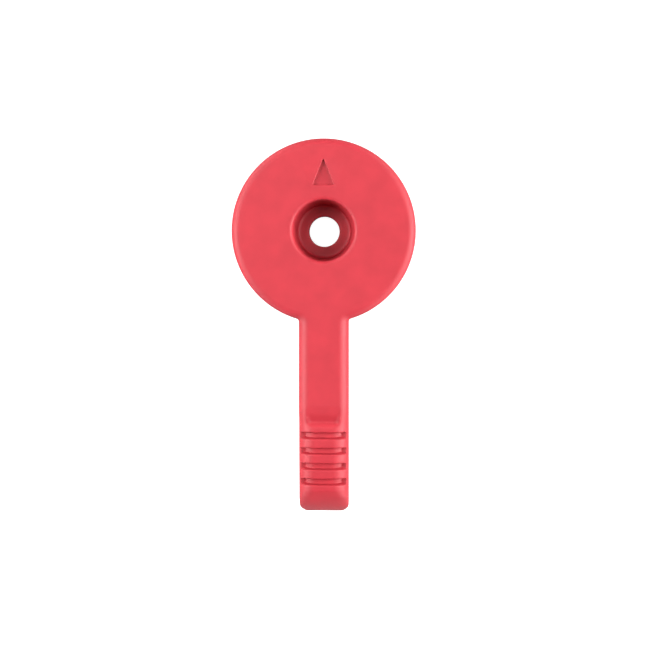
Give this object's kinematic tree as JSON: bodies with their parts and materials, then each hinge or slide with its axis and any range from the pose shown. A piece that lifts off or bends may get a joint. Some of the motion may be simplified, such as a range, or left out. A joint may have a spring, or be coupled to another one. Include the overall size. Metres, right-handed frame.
{
  "type": "lever handle",
  "caption": "Moulded lever handle: round head with a stepped screw seat and sunk pointer, narrow arm, ribbed thumb grip and a pressed-in metal drive insert.",
  "frame": {"origin": "on the axis of the head, in the plane of its back face, at the mouth of the drive bore", "axes": "+Z along the head's axis towards the front face, +Y towards the sunk pointer, -Y along the arm to its tip"},
  "size_m": [0.033, 0.0675, 0.014],
  "materials": {
    "red_plastic": "fine-textured matte moulding, self-coloured red",
    "insert_metal": "turned and sawn from hexagonal bar"
  },
  "bodies": {
    "root": {"lever_body": "red_plastic", "hub_insert": "insert_metal"}
  },
  "joints": []
}
